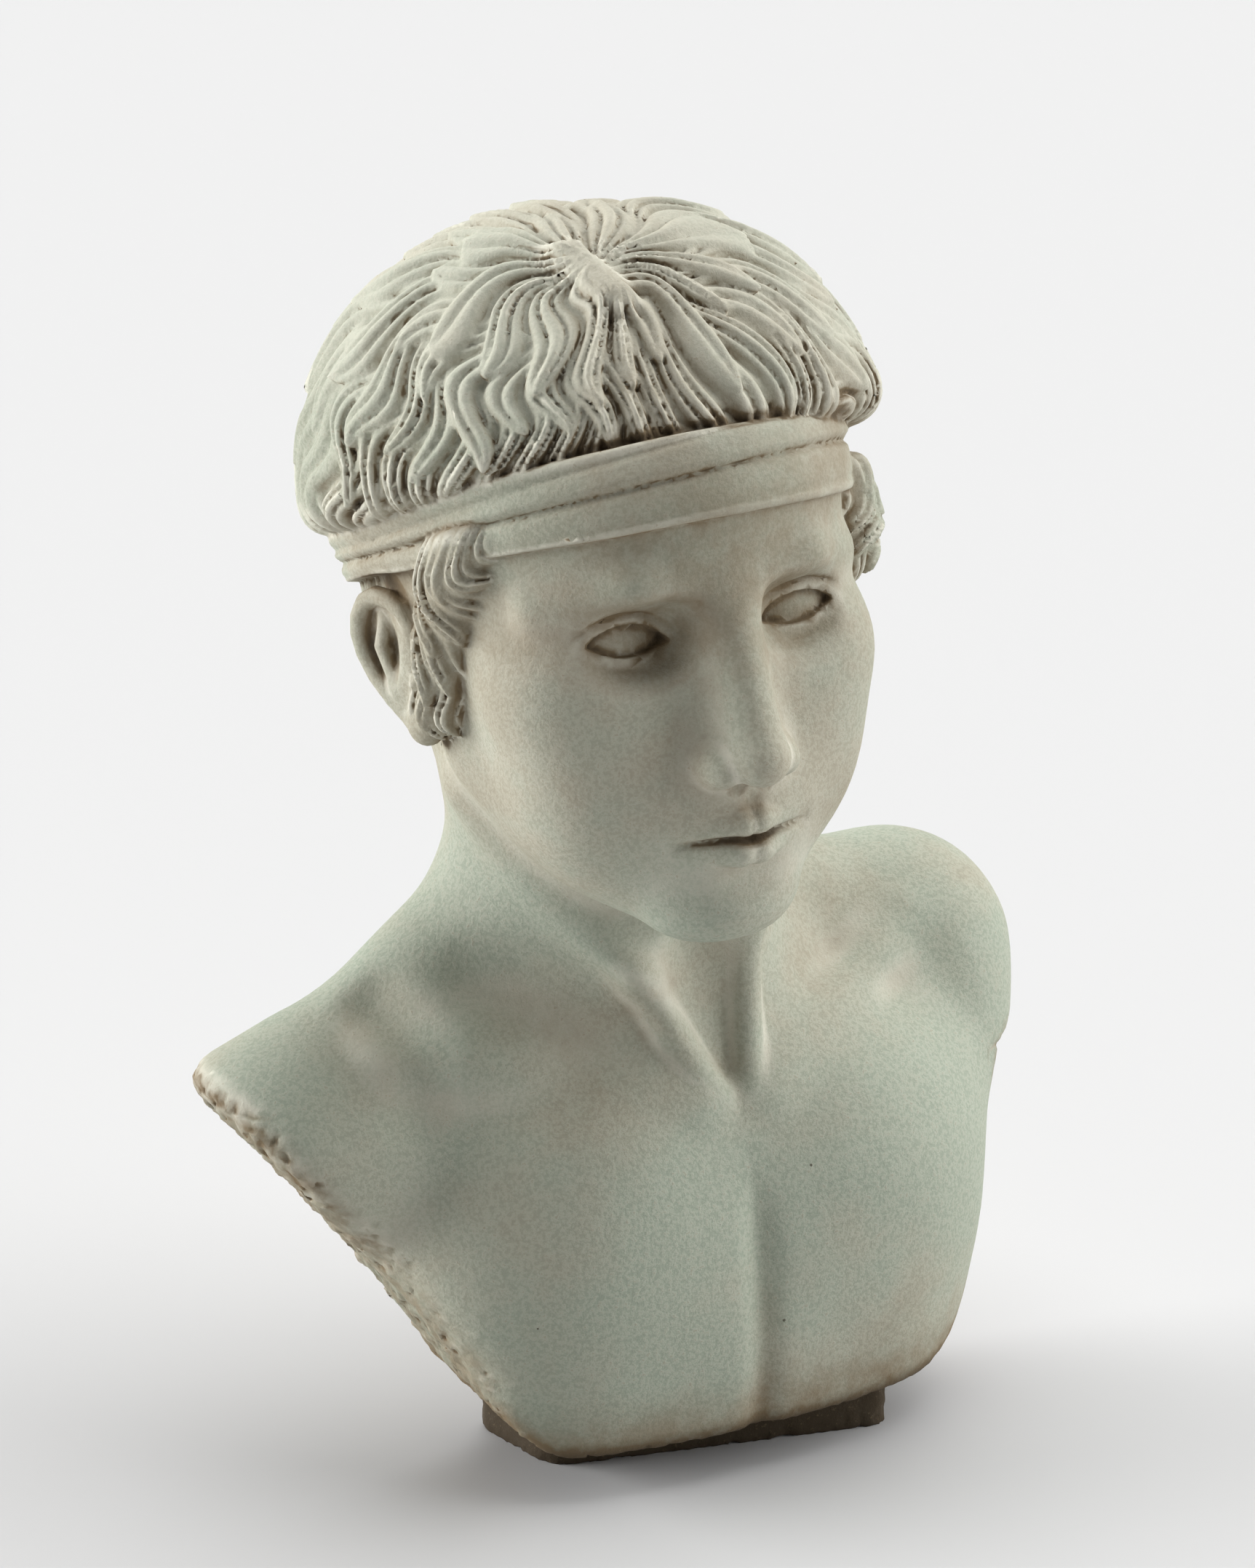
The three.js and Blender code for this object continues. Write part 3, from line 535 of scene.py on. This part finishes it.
def trim_field(x, y, z):
    """Distance past the nearest cut face, positive where the figure is cut away."""
    sides = np.maximum(beyond(RIGHT_SIDE, x, z, -1), beyond(LEFT_SIDE, x, z, 1))
    return np.maximum(np.maximum(sides, beyond(BACK_SIDE, y, z, 1)), FOOT_HEIGHT - z)


def foot_field(x, y, z):
    wide, deep = FOOT_WIDTH / 2, FOOT_DEPTH / 2
    corners = [
        (-wide, deep), (-wide + FOOT_TAPER, deep - FOOT_SHORT_DEPTH), (wide, -deep), (wide, deep),
    ]
    walls = np.full_like(x, -1e3)
    for (ax, ay), (bx, by) in zip(corners, corners[1:] + corners[:1]):
        length = math.hypot(bx - ax, by - ay)
        wall = ((x - ax) * (by - ay) - (y - ay) * (bx - ax)) / length
        walls = smooth_cut(walls, -wall, FOOT_CORNER)
    top = z - FOOT_HEIGHT - FOOT_SINK
    return np.maximum(smooth_cut(walls, -top, 3), -z)


WAVER = 0.35  # how far the whole surface wavers
WAVER_SIZE = 22
CUTS_BELOW = 260  # no cut face lies higher than this
CUT_INSET = 0.8
CUT_BLEND = 2.2
WORN_BLEND = 10  # added where the edge is worn away
WORN_ROUGHNESS = 0.5
FOOT_ROUGHNESS = 0.4


def porous(x, y, z):
    """The broken surface of a cut face."""
    rough = 0.4 * noise(x, y, z, 6, 1) + 0.55 * noise(x, y, z, 2.5, 2)
    return rough - 0.9 * ease(noise(x, y, z, 2.9, 3), 0.3, 0.7)


def worn_edge(x, z):
    """How far the cut's edge is worn away: most on the figure's right, above the foot."""
    return ease(-x, 25, 75) * ease(z, 25, 60)


def bust_field(x, y, z):
    figure = figure_field(x, y, z)
    figure = figure + WAVER * noise(x, y, z, WAVER_SIZE, 4)
    low = np.flatnonzero(z < CUTS_BELOW)
    if low.size:
        place = x[low], y[low], z[low]
        rough = porous(*place)
        worn = worn_edge(x[low], z[low])
        cut_line = -trim_field(*place) + (1 + WORN_ROUGHNESS * worn) * rough - CUT_INSET
        trimmed = smooth_cut(figure[low], cut_line, CUT_BLEND + WORN_BLEND * worn)
        figure[low] = smooth_join(trimmed, foot_field(*place) - FOOT_ROUGHNESS * rough, 2)
    return np.maximum(figure, -z)


def evaluate(points):
    """Distances at many points, in chunks side by side."""
    chunks = np.array_split(points, max(1, len(points) // CHUNK))
    with ThreadPoolExecutor(WORKERS) as pool:
        parts = pool.map(lambda chunk: bust_field(*np.ascontiguousarray(chunk.T)), chunks)
        return np.concatenate(list(parts))


# Meshing

def sample_grid(low, counts, step):
    """Distances on the whole grid. Blocks well clear of the surface keep their middle's."""
    blocks = [-(-count // BLOCK) for count in counts]
    index = np.stack(np.meshgrid(*(np.arange(n) for n in blocks), indexing="ij"), -1).reshape(-1, 3)
    middles = (low + (index + 0.5) * BLOCK * step).astype(np.float32)
    values = evaluate(middles)
    grid = values.reshape(blocks)
    for axis in range(3):
        grid = np.repeat(grid, BLOCK, axis)
    grid = np.ascontiguousarray(grid)
    close = index[np.abs(values) < BLOCK * step * NEAR_BLOCKS]
    inner = np.stack(np.meshgrid(*(np.arange(BLOCK),) * 3, indexing="ij"), -1).reshape(-1, 3)
    nodes = (close[:, None, :] * BLOCK + inner[None]).reshape(-1, 3)
    fine = evaluate((low + nodes * step).astype(np.float32))
    grid[nodes[:, 0], nodes[:, 1], nodes[:, 2]] = fine
    return grid


def surface_net(values, low, step):
    """One point in each cell that the surface crosses, joined across each crossed edge."""
    inside = values < 0
    ends = [slice(None, -1), slice(1, None)]
    filled = np.zeros([n - 1 for n in values.shape], np.int8)
    for a in ends:
        for b in ends:
            for c in ends:
                filled += inside[a, b, c]
    mixed = (filled > 0) & (filled < 8)
    cells = np.argwhere(mixed)
    number = np.full(mixed.shape, -1, np.int32)
    number[mixed] = np.arange(len(cells), dtype=np.int32)
    corners = {}
    for corner in np.ndindex(2, 2, 2):
        at = cells + corner
        corners[corner] = values[at[:, 0], at[:, 1], at[:, 2]]
    total = np.zeros((len(cells), 3), np.float32)
    count = np.zeros(len(cells), np.float32)
    for axis in range(3):
        for corner, start in corners.items():
            if corner[axis]:
                continue
            end = corners[tuple(1 if i == axis else c for i, c in enumerate(corner))]
            crossed = (start < 0) != (end < 0)
            share = np.where(crossed, start / np.where(crossed, start - end, 1), 0)
            for i in range(3):
                total[:, i] += crossed * (corner[i] if i != axis else share)
            count += crossed
    points = low + (cells + total / count[:, None]) * step
    quads = []
    for axis in range(3):
        u, v = (axis + 1) % 3, (axis + 2) % 3
        here = [slice(1, -1)] * 3
        there = [slice(1, -1)] * 3
        there[axis] = slice(2, None)
        starts = inside[tuple(here)]
        crossed = np.argwhere(starts != inside[tuple(there)]) + 1
        outward = inside[crossed[:, 0], crossed[:, 1], crossed[:, 2]]
        ring = []
        for du, dv in ((0, 0), (1, 0), (1, 1), (0, 1)):
            cell = crossed.copy()
            cell[:, u] -= du
            cell[:, v] -= dv
            ring.append(number[cell[:, 0], cell[:, 1], cell[:, 2]])
        ring = np.stack(ring, 1)
        ring[~outward] = ring[~outward][:, ::-1]
        quads.append(ring)
    return points, np.concatenate(quads)


def gradient(points, reach=0.25):
    middle = evaluate(points)
    slope = np.empty_like(points)
    for axis in range(3):
        moved = points.copy()
        moved[:, axis] += reach
        slope[:, axis] = (evaluate(moved) - middle) / reach
    return middle, slope


def settle(points):
    """Moves points onto the surface, so that the grid doesn't blunt the carving."""
    points = points.astype(np.float32)
    distance, slope = gradient(points)
    steep = np.maximum((slope * slope).sum(1), LEAST_STEEP)
    move = np.clip(distance / steep, -MOST_MOVE, MOST_MOVE)
    return points - move[:, None] * slope


def mesh_object(name, points, faces):
    mesh = bpy.data.meshes.new(name)
    mesh.vertices.add(len(points))
    mesh.vertices.foreach_set("co", (points * MILLIMETRE).astype(np.float32).ravel())
    mesh.loops.add(faces.size)
    mesh.loops.foreach_set("vertex_index", faces.astype(np.int32).ravel())
    mesh.polygons.add(len(faces))
    starts = np.arange(0, faces.size, faces.shape[1], dtype=np.int32)
    mesh.polygons.foreach_set("loop_start", starts)
    mesh.update(calc_edges=True)
    piece = bpy.data.objects.new(name, mesh)
    bpy.context.scene.collection.objects.link(piece)
    return piece


def thin_out(piece, triangles):
    """Leaves few triangles where the surface is smooth and many in the carving."""
    modifier = piece.modifiers.new("thin_out", "DECIMATE")
    modifier.ratio = triangles / (2 * len(piece.data.polygons))
    thinned = piece.evaluated_get(bpy.context.evaluated_depsgraph_get())
    mesh = bpy.data.meshes.new_from_object(thinned)
    points = np.empty(3 * len(mesh.vertices), np.float32)
    mesh.vertices.foreach_get("co", points)
    points[2::3] = np.maximum(points[2::3], 0)  # nothing reaches below the floor
    mesh.vertices.foreach_set("co", points)
    piece.modifiers.clear()
    piece.data = mesh
    mesh.shade_smooth()


# Wear and painted light: how sheltered, proud and broken each point is and where it lies, for the
# colours, which paint dust and shade in hollows and grooves, shade on the brow, and wear and
# highlight on ridges and the crown

BROW_AT = (0, -85, 28)  # middle of the painted shade on the brow, from the middle of the head
BROW_RADII = (58, 62, 46)


def set_attribute(mesh, name, values):
    layer = mesh.attributes.new(name, "FLOAT", "POINT")
    layer.data.foreach_set("value", values.astype(np.float32))


def mark_wear_and_shade(mesh):
    count = len(mesh.vertices)
    points = np.empty(count * 3, np.float32)
    normals = np.empty(count * 3, np.float32)
    mesh.vertices.foreach_get("co", points)
    mesh.vertices.foreach_get("normal", normals)
    points = points.reshape(-1, 3) / MILLIMETRE
    normals = normals.reshape(-1, 3)

    def openness(reach):
        return evaluate(points + reach * normals) / reach

    def buried(reach):
        return -evaluate(points - reach * normals) / reach

    groove = np.clip(1 - 0.5 * (openness(2) + openness(4)), 0, 1)
    shelter = np.clip(1 - (openness(9) + openness(20) + openness(38)) / 3, 0, 1)
    ridge = np.clip(1 - 0.5 * (buried(1.5) + buried(3.5)), 0, 1)
    x, y, z = points.T
    cut_face = bell(np.minimum(trim_field(x, y, z) + 1.5, 0), 2.0 + 3.5 * worn_edge(x, z)) * (z > 2)
    cut_face = np.maximum(cut_face, z < FOOT_HEIGHT)
    hx, hy, hz = (points - np.add(FIGURE_AT, HEAD_AT)).T
    head = 1 - ease(-hz, 60, 110)
    crown = ease(hz, 45, 80)
    from_brow = [
        (value - middle) / radius
        for value, middle, radius in zip((hx, hy, hz), BROW_AT, BROW_RADII)
    ]
    # a patch of painted shade over the brow
    brow_shade = bell(np.sqrt(sum(value ** 2 for value in from_brow)), 1)
    # the chest's midline is darkened as a groove: dust and painted shade along the crease
    midline = bell(x - FIGURE_AT[0] - 3, 9) * ease(MIDLINE_TOP - z, -10, 60) * (y < 0)
    groove = np.maximum(groove, 0.3 * midline)
    wear_and_shade = dict(groove=groove, shelter=shelter, ridge=ridge, cut_face=cut_face, head=head,
                crown=crown, brow_shade=brow_shade, height=z)
    for name, values in wear_and_shade.items():
        set_attribute(mesh, name, values)


# Materials

class Tree:
    """Short ways to add nodes to a material."""

    def __init__(self, material):
        material.use_nodes = True
        self.nodes = material.node_tree.nodes
        self.links = material.node_tree.links
        self.shader = self.nodes["Principled BSDF"]
        self.place = self.nodes.new("ShaderNodeTexCoord").outputs["Object"]

    def feed(self, socket, value):
        if isinstance(value, bpy.types.NodeSocket):
            self.links.new(value, socket)
        else:
            socket.default_value = value

    def attribute(self, name):
        node = self.nodes.new("ShaderNodeAttribute")
        node.attribute_name = name
        return node.outputs["Fac"]

    def noise(self, per_metre, detail=3, rough=0.55):
        node = self.nodes.new("ShaderNodeTexNoise")
        self.feed(node.inputs["Vector"], self.place)
        node.inputs["Scale"].default_value = per_metre
        node.inputs["Detail"].default_value = detail
        node.inputs["Roughness"].default_value = rough
        return node.outputs["Fac"]

    def cells(self, per_metre):
        node = self.nodes.new("ShaderNodeTexVoronoi")
        self.feed(node.inputs["Vector"], self.place)
        node.inputs["Scale"].default_value = per_metre
        return node.outputs["Distance"], node.outputs["Color"]

    def math(self, kind, a, b=0.0, clamp=False):
        node = self.nodes.new("ShaderNodeMath")
        node.operation = kind
        node.use_clamp = clamp
        self.feed(node.inputs[0], a)
        self.feed(node.inputs[1], b)
        return node.outputs[0]

    def ramp(self, value, low, high, start=0.0, end=1.0):
        node = self.nodes.new("ShaderNodeMapRange")
        node.interpolation_type = "SMOOTHSTEP"
        for name, number in zip(("Value", "From Min", "From Max", "To Min", "To Max"),
                                (value, low, high, start, end)):
            self.feed(node.inputs[name], number)
        return node.outputs["Result"]

    def mix(self, share, a, b):
        node = self.nodes.new("ShaderNodeMix")
        node.data_type = "RGBA"
        self.feed(node.inputs["Factor"], share)
        self.feed(node.inputs["A"], a)
        self.feed(node.inputs["B"], b)
        return node.outputs["Result"]

    def bump(self, height, strength, distance, onto=None):
        node = self.nodes.new("ShaderNodeBump")
        node.inputs["Strength"].default_value = strength
        node.inputs["Distance"].default_value = distance
        self.feed(node.inputs["Height"], height)
        if onto is not None:
            self.feed(node.inputs["Normal"], onto)
        return node.outputs["Normal"]


GREEN_GREY = (0.305, 0.345, 0.275, 1)
CREAM = (0.36, 0.34, 0.265, 1)
WORN_AND_HIGHLIGHT = (0.66, 0.645, 0.55, 1)
DUST_AND_SHADE_BROWN = (0.20, 0.15, 0.09, 1)
DEEP_BROWN = (0.045, 0.033, 0.02, 1)


def plaster():
    material = bpy.data.materials.new("aged_plaster")
    tree = Tree(material)
    groove, shelter = tree.attribute("groove"), tree.attribute("shelter")
    ridge, cut_face = tree.attribute("ridge"), tree.attribute("cut_face")
    height = tree.attribute("height")
    broad = tree.noise(13, 4)
    mottle = tree.noise(75, 5, 0.65)
    grain = tree.noise(620, 3, 0.7)

    # Green-grey skin, creamier on the head and in the hollows, paler on ridges from wear and
    # painted highlight, and a painted highlight towards the crown
    warmth = tree.math("MULTIPLY", tree.ramp(broad, 0.4, 0.62), 0.8)
    warmth = tree.math("ADD", warmth, tree.math("MULTIPLY", shelter, 0.8))
    warmth = tree.math("ADD", warmth, tree.math("MULTIPLY", tree.attribute("head"), 0.45))
    warmth = tree.math("MULTIPLY", warmth, tree.ramp(mottle, 0.2, 0.8, 0.6, 1.0), clamp=True)
    colour = tree.mix(warmth, GREEN_GREY, CREAM)
    # pale wear and painted highlight on the proud ridges
    colour = tree.mix(tree.ramp(ridge, 0.1, 0.45, 0.0, 0.75), colour, WORN_AND_HIGHLIGHT)
    colour = tree.mix(tree.ramp(grain, 0.38, 0.62, 0.0, 0.25), colour, WORN_AND_HIGHLIGHT)
    # painted highlight towards the top of the head
    colour = tree.mix(tree.math("MULTIPLY", tree.attribute("crown"), 0.28), colour, WORN_AND_HIGHLIGHT)

    # Brown dust and painted shade in hollows and grooves, painted shade on the brow, brown dust on
    # the cut edges, and darker towards the bottom, darkest at the foot
    patchy = tree.ramp(mottle, 0.28, 0.65, 0.45, 1.0)
    # dust and painted shade, deepest in the most sheltered hollows
    dust_and_shade = tree.ramp(shelter, 0.12, 0.95, 0.0, 0.75)
    dust_and_shade = tree.math("MULTIPLY", dust_and_shade, tree.ramp(tree.attribute("head"), 0.0, 1.0, 0.3, 1.0))
    # dust and painted shade in the grooves
    dust_and_shade = tree.math("ADD", dust_and_shade, tree.ramp(groove, 0.14, 0.55, 0.0, 0.8))
    # painted shade on the brow
    dust_and_shade = tree.math("ADD", dust_and_shade, tree.math("MULTIPLY", tree.attribute("brow_shade"), 0.62))
    dust_and_shade = tree.math("ADD", dust_and_shade, tree.math("MULTIPLY", cut_face, 0.78))
    # darker towards the bottom
    dust_and_shade = tree.math("ADD", dust_and_shade, tree.ramp(height, 20, 46, 0.72, 0.0))
    dust_and_shade = tree.math("ADD", dust_and_shade, tree.ramp(broad, 0.52, 0.72, 0.0, 0.3))
    dust_and_shade = tree.math("MULTIPLY", dust_and_shade, patchy, clamp=True)
    colour = tree.mix(dust_and_shade, colour, DUST_AND_SHADE_BROWN)
    foot_dark = tree.ramp(height, 16, 27, 0.92, 0.0)
    # deep brown in the grooves, as dirt and painted shade
    dark = tree.math("ADD", tree.ramp(groove, 0.25, 0.8, 0.0, 0.6), foot_dark)
    colour = tree.mix(tree.math("MINIMUM", dark, 0.92), colour, DEEP_BROWN)
    colour = tree.mix(tree.ramp(grain, 0.58, 0.72, 0.0, 0.35), colour, DUST_AND_SHADE_BROWN)

    # Small pits here and there
    distance, chance = tree.cells(300)
    pit_edge = tree.ramp(chance, 0.9, 1.0, 0.02, 0.24)
    pit = tree.math("LESS_THAN", distance, pit_edge)
    pit = tree.math("MULTIPLY", pit, tree.math("GREATER_THAN", chance, 0.9))
    # dirt and painted shade in the small pits
    colour = tree.mix(tree.math("MULTIPLY", pit, 0.75), colour, DEEP_BROWN)

    tree.feed(tree.shader.inputs["Base Color"], colour)
    tree.feed(tree.shader.inputs["Roughness"], tree.ramp(mottle, 0.2, 0.8, 0.72, 0.95))
    tree.shader.inputs["Specular IOR Level"].default_value = 0.2
    relief = tree.bump(grain, 0.5, 0.0006)
    relief = tree.bump(mottle, 0.3, 0.0012, relief)
    relief = tree.bump(tree.math("SUBTRACT", 1.0, pit), 0.6, 0.0006, relief)
    tree.feed(tree.shader.inputs["Normal"], relief)
    return material


FLOOR_COLOUR = (0.565, 0.565, 0.565, 1)
FLOOR_HALF = 100.0  # metres


def pale_floor():
    corners = [(-FLOOR_HALF, -FLOOR_HALF, 0), (FLOOR_HALF, -FLOOR_HALF, 0),
               (FLOOR_HALF, FLOOR_HALF, 0), (-FLOOR_HALF, FLOOR_HALF, 0)]
    mesh = bpy.data.meshes.new("floor")
    mesh.from_pydata(corners, [], [(0, 1, 2, 3)])
    floor = bpy.data.objects.new("floor", mesh)
    bpy.context.scene.collection.objects.link(floor)
    material = bpy.data.materials.new("floor")
    tree = Tree(material)
    tree.shader.inputs["Base Color"].default_value = FLOOR_COLOUR
    tree.shader.inputs["Roughness"].default_value = 0.9
    tree.shader.inputs["Specular IOR Level"].default_value = 0.1
    mesh.materials.append(material)


# Light and camera

WORLD_STRENGTH = 0.08
LIGHTS = [
    # name, height above the floor in degrees, bearing in degrees, spread in degrees, strength
    ("overhead", 68, 40, 75, 2.9),
    ("right", 17, -24, 55, 3.2),
    ("left", 8, 146, 45, 5.8),
]


def add_lights():
    world = bpy.data.worlds.new("studio")
    world.use_nodes = True
    background = world.node_tree.nodes["Background"]
    background.inputs["Color"].default_value = (1, 1, 1, 1)
    background.inputs["Strength"].default_value = WORLD_STRENGTH
    bpy.context.scene.world = world
    for name, height, bearing, spread, strength in LIGHTS:
        data = bpy.data.lights.new(name, "SUN")
        data.energy = strength
        data.angle = math.radians(spread)
        light = bpy.data.objects.new(name, data)
        level = math.cos(math.radians(height))
        towards = Vector((level * math.cos(math.radians(bearing)),
                          level * math.sin(math.radians(bearing)),
                          math.sin(math.radians(height))))
        light.location = 2 * towards
        light.rotation_mode = "QUATERNION"
        light.rotation_quaternion = towards.to_track_quat("Z", "Y")
        bpy.context.scene.collection.objects.link(light)


PHOTO_SIZE = (1725, 2156)
AZIMUTH = math.radians(-27)
ELEVATION = math.radians(19)
FOCAL = 100
SENSOR = 36
CAMERA_DISTANCE = 1.5  # from the aim, in metres
AIM = Vector((0.0045, -0.0305, 0.135))
AIM_PIXEL = (1013.4, 1520)  # where the aim shows in the photograph


def add_camera():
    data = bpy.data.cameras.new("camera")
    data.lens = FOCAL
    data.sensor_width = SENSOR
    data.clip_start = 0.05
    data.clip_end = 300
    camera = bpy.data.objects.new("camera", data)
    right = Vector((math.cos(AZIMUTH), math.sin(AZIMUTH), 0))
    back = Vector((math.sin(AZIMUTH) * math.cos(ELEVATION),
                   -math.cos(AZIMUTH) * math.cos(ELEVATION),
                   math.sin(ELEVATION)))
    up = back.cross(right)
    pixel = CAMERA_DISTANCE * SENSOR / FOCAL / PHOTO_SIZE[1]
    shift_right = (AIM_PIXEL[0] - PHOTO_SIZE[0] / 2) * pixel
    shift_down = (AIM_PIXEL[1] - PHOTO_SIZE[1] / 2) * pixel
    camera.location = AIM + back * CAMERA_DISTANCE - right * shift_right + up * shift_down
    camera.rotation_mode = "QUATERNION"
    camera.rotation_quaternion = (-back).to_track_quat("-Z", "Y")
    bpy.context.scene.collection.objects.link(camera)
    bpy.context.scene.camera = camera


def build_bust():
    low, high = (np.array(corner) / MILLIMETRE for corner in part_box("bust"))
    low, high = low - MARGIN, high + MARGIN
    counts = np.ceil((high - low) / GRID_STEP).astype(int) + 1
    values = sample_grid(low, counts, GRID_STEP)
    points, quads = surface_net(values, low, GRID_STEP)
    points = settle(points)
    bust = mesh_object("plaster_bust", points, quads)
    thin_out(bust, TRIANGLES)
    mark_wear_and_shade(bust.data)
    bust.data.materials.append(plaster())
    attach(bust, "root")
    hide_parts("bust")


bpy.context.scene.view_settings.view_transform = "Standard"
add_camera()
add_lights()
pale_floor()
build_bust()
